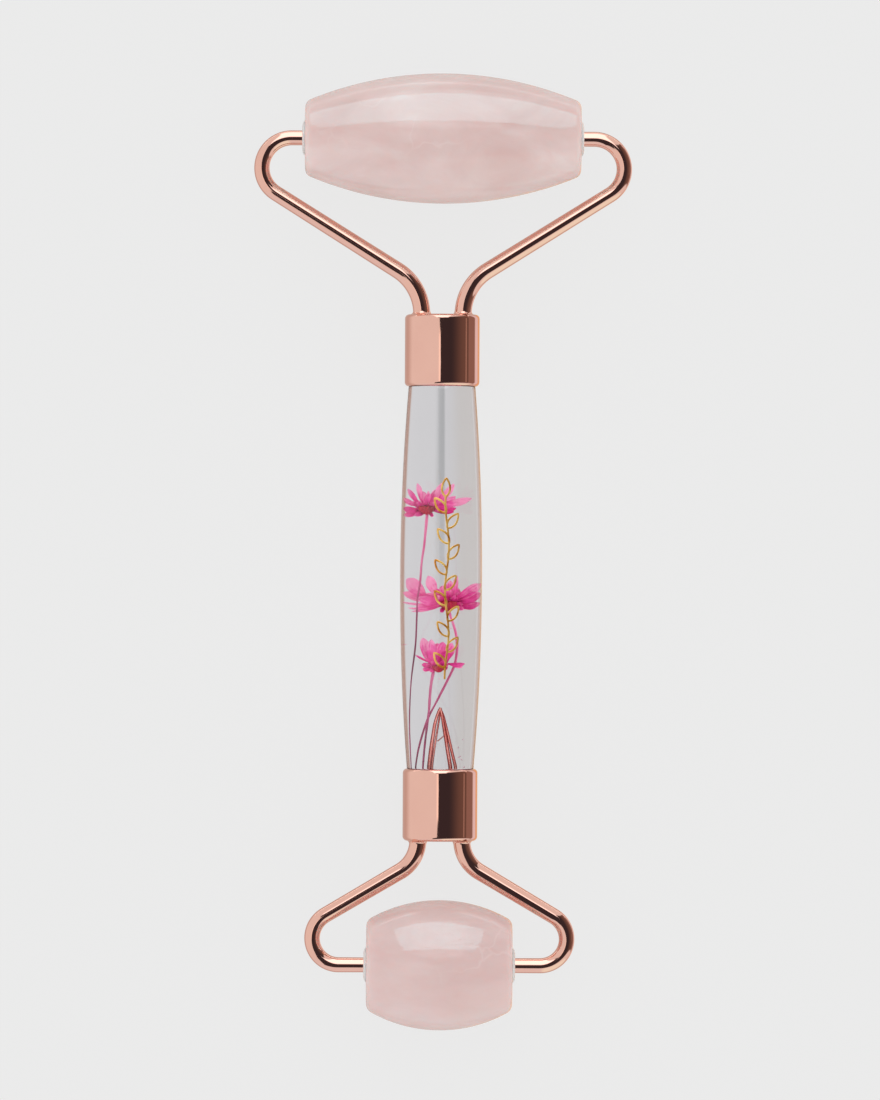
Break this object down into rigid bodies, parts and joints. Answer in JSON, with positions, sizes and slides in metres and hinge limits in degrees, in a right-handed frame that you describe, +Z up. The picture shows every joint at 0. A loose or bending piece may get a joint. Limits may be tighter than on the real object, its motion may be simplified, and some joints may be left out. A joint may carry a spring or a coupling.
{
  "type": "two-ended facial massage roller",
  "caption": "Facial massage roller with a barrel stone at each end, held in curved metal forks on a clear cast resin handle with dried flowers inside.",
  "frame": {"origin": "under the middle of the roller, on the surface that it lies on", "axes": "+X along the roller stones, +Y along the handle towards the large roller, +Z up"},
  "size_m": [0.0566, 0.1435, 0.0195],
  "materials": {
    "rose_quartz": "polished",
    "bush_plastic": "gloss",
    "rose_gold": "mirror polished rose gold plating",
    "potting_resin": "satin",
    "clear_resin": "clear gloss",
    "dried_petal": "dry, translucent",
    "dried_calyx": "dry",
    "pink_stem": "dry",
    "brown_stem": "dry",
    "gold_foil": "hot stamped foil"
  },
  "bodies": {
    "handle_frame": {"large_arm_left": "rose_gold", "large_arm_right": "rose_gold", "large_ferrule": "rose_gold", "large_braze": "rose_gold", "large_potting": "potting_resin", "small_arm_left": "rose_gold", "small_arm_right": "rose_gold", "small_ferrule": "rose_gold", "small_braze": "rose_gold", "small_potting": "potting_resin", "handle": "clear_resin", "upper_flower_petals": "dried_petal", "upper_flower_calyx": "dried_calyx", "upper_flower_stem": "pink_stem", "middle_flower_petals": "dried_petal", "middle_flower_calyx": "dried_calyx", "middle_flower_stem": "pink_stem", "lower_flower_petals": "dried_petal", "lower_flower_calyx": "dried_calyx", "lower_flower_stem": "pink_stem", "folded_stem": "brown_stem"},
    "large_roller": {"large_stone": "rose_quartz", "large_bush_left": "bush_plastic", "large_bush_right": "bush_plastic"},
    "small_roller": {"small_stone": "rose_quartz", "small_bush_left": "bush_plastic", "small_bush_right": "bush_plastic"}
  },
  "joints": [
    {"name": "large_roller_spin", "type": "hinge", "parent": "handle_frame", "child": "large_roller", "pos_m": [0, 0.062, 0.00975], "axis": [1, 0, 0], "continuous": true},
    {"name": "small_roller_spin", "type": "hinge", "parent": "handle_frame", "child": "small_roller", "pos_m": [0, -0.062, 0.00975], "axis": [1, 0, 0], "continuous": true}
  ]
}
